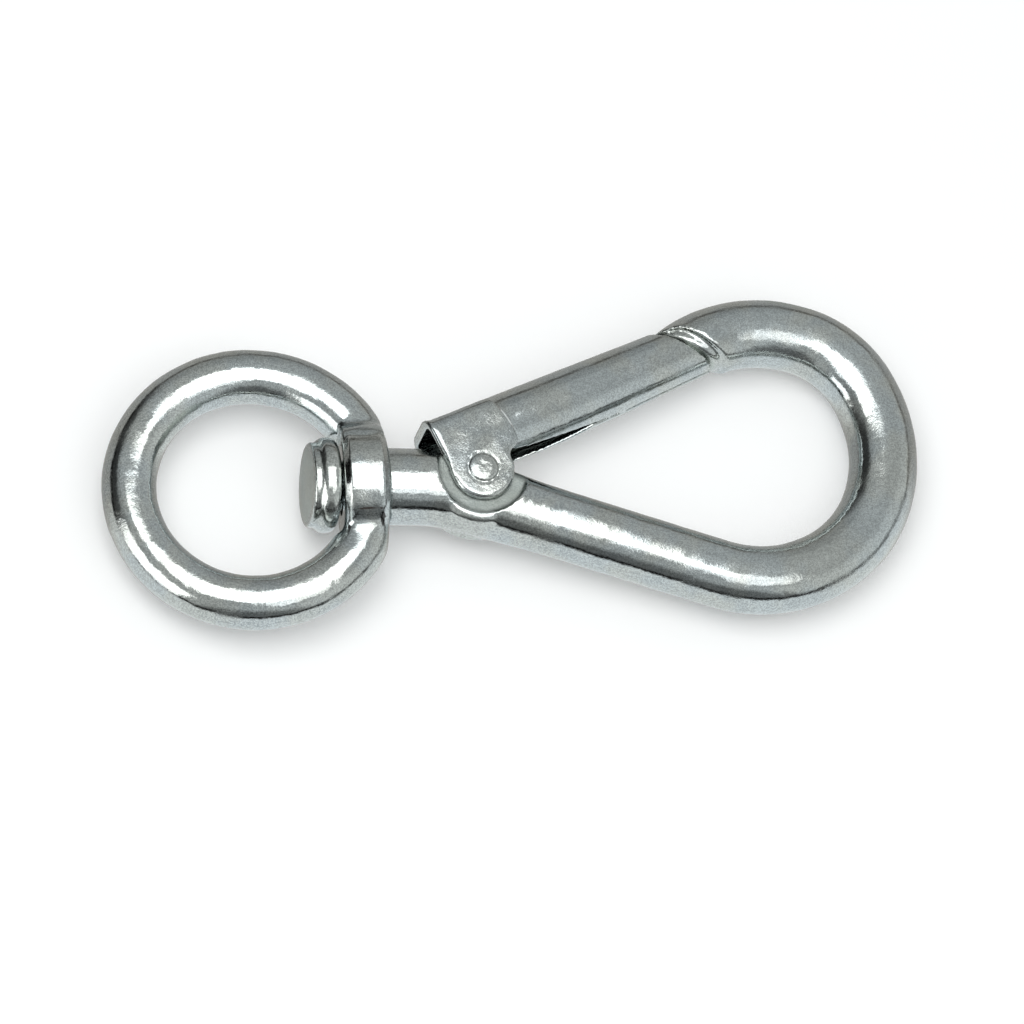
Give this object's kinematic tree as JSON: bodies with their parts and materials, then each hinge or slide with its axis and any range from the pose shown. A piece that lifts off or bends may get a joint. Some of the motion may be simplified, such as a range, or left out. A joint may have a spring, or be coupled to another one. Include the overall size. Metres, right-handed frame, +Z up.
{
  "type": "swivel snap hook",
  "caption": "Forged round-bar snap hook whose stem turns in a bored eye ring, closed by a sprung sheet-steel gate on a rivet.",
  "frame": {"origin": "under the middle of the whole object, on the surface that it lies on", "axes": "+X from the eye to the loop, +Y from the leg to the gate, +Z up from the surface it lies on"},
  "size_m": [0.1206, 0.052, 0.0169],
  "materials": {
    "forged_steel": "bright zinc plate over a forged skin",
    "sheet_steel": "bright zinc plate over formed sheet",
    "spring_steel": "plain spring steel"
  },
  "bodies": {
    "hook": {"hook_body": "forged_steel", "gate_rivet": "sheet_steel"},
    "eye": {"eye_ring": "forged_steel"},
    "gate": {"gate": "sheet_steel", "gate_spring": "spring_steel"}
  },
  "joints": [
    {"name": "eye_swivel", "type": "hinge", "parent": "hook", "child": "eye", "pos_m": [-0.02266, -0.00439, 0.00845], "axis": [0.9969, 0, 0.0785], "continuous": true},
    {"name": "gate_hinge", "type": "hinge", "parent": "hook", "child": "gate", "pos_m": [-0.00587, -0.00329, 0.00771], "axis": [-0.0443, 0, -0.999], "range_deg": [0, 36], "stiffness_Nm_per_rad": 0.25, "springref_deg": -11.46, "deforming": ["gate_spring"]}
  ]
}
